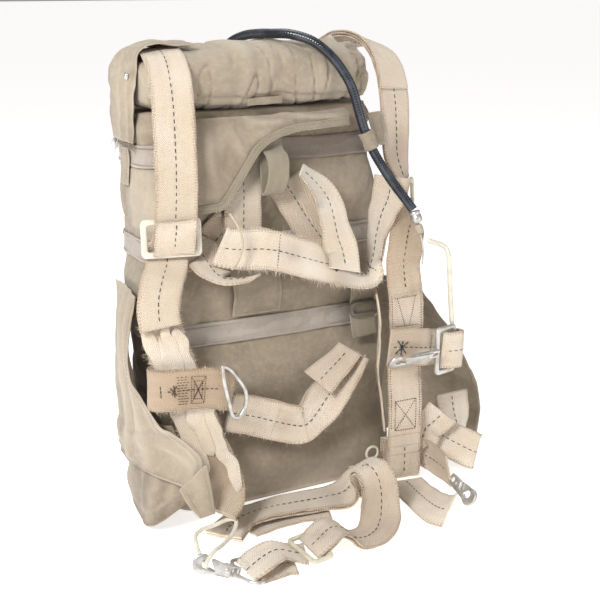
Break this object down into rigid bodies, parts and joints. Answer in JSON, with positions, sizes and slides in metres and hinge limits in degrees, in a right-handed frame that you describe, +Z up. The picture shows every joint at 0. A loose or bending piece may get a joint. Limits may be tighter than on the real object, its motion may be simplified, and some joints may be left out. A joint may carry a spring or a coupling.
{
  "type": "packed parachute",
  "caption": "Stuffed canvas back pack with a head roll, side flaps and a cream webbing harness with metal slides, snap hooks and a ripcord housing, standing on its base.",
  "frame": {"origin": "middle of the pack's flat base, on the surface it stands on", "axes": "+X to the right across the pack as seen from the harness side, +Y to the plain back, +Z up"},
  "size_m": [0.4787, 0.3665, 0.5318],
  "materials": {
    "canvas": "matte khaki cotton canvas",
    "band_tape": "grey-mauve cotton tape",
    "webbing": "cream woven harness webbing",
    "keeper_tape": "khaki herringbone tape",
    "painted_metal": "worn khaki paint",
    "steel": "dull plated steel",
    "black_housing": "glossy black ribbed conduit"
  },
  "bodies": {
    "harness_pack": {"adjuster_left": "painted_metal", "adjuster_right": "painted_metal", "back_cross": "webbing", "back_diagonal_front": "webbing", "back_diagonal_rear": "webbing", "back_vertical": "webbing", "band_1": "band_tape", "band_2": "band_tape", "band_3": "band_tape", "chest_adapter": "painted_metal", "chest_ring": "steel", "chest_snap": "steel", "chest_web_right": "webbing", "chest_wrap_left": "webbing", "edge_web": "webbing", "end_flap_left": "canvas", "flap_binding": "keeper_tape", "free_strap": "webbing", "head_roll": "canvas", "housing_ferrule": "steel", "housing_sleeve": "canvas", "keeper_tape": "keeper_tape", "left_loop": "webbing", "leg_adapter_left": "painted_metal", "leg_bail_left": "steel", "leg_fold_right": "webbing", "leg_front_left": "webbing", "leg_link_left": "painted_metal", "leg_snap_left": "steel", "leg_snap_right": "steel", "leg_strap_left": "webbing", "leg_strap_right": "webbing", "leg_tail_right": "webbing", "leg_under_left": "webbing", "lift_left": "webbing", "main_right": "webbing", "pack_body": "canvas", "pouch_left": "canvas", "record_pocket": "canvas", "retainer_slide": "painted_metal", "retainer_strap": "keeper_tape", "ripcord_cable": "steel", "ripcord_handle": "painted_metal", "ripcord_housing": "black_housing", "riser_left": "webbing", "riser_right": "webbing", "saddle_ring": "painted_metal", "saddle_strap": "webbing", "side_keeper": "canvas", "sleeve_tab": "canvas", "snap_stud": "steel", "upper_flap": "canvas", "waist_front": "webbing", "waist_rear": "webbing", "wing_left": "canvas", "wing_right": "canvas", "wing_strap_left": "canvas"},
    "chest_gate": {"chest_snap_gate": "steel"},
    "left_leg_gate": {"leg_snap_left_gate": "steel"},
    "right_leg_gate": {"leg_snap_right_gate": "steel"}
  },
  "joints": [
    {"name": "chest_gate_hinge", "type": "hinge", "parent": "harness_pack", "child": "chest_gate", "pos_m": [0.15205, -0.14, 0.16301], "axis": [0.0166, -0.8335, -0.5523], "range_deg": [0, 18], "stiffness_Nm_per_rad": 0.02, "springref_deg": -20.05},
    {"name": "left_leg_gate_hinge", "type": "hinge", "parent": "harness_pack", "child": "left_leg_gate", "pos_m": [-0.15107, -0.22887, 0.01194], "axis": [-0.3319, -0.9101, 0.2482], "range_deg": [0, 14], "stiffness_Nm_per_rad": 0.02, "springref_deg": -20.05},
    {"name": "right_leg_gate_hinge", "type": "hinge", "parent": "harness_pack", "child": "right_leg_gate", "pos_m": [0.16298, -0.19048, 0.01998], "axis": [0.8438, 0.077, -0.5311], "range_deg": [0, 18], "stiffness_Nm_per_rad": 0.02, "springref_deg": -20.05}
  ]
}
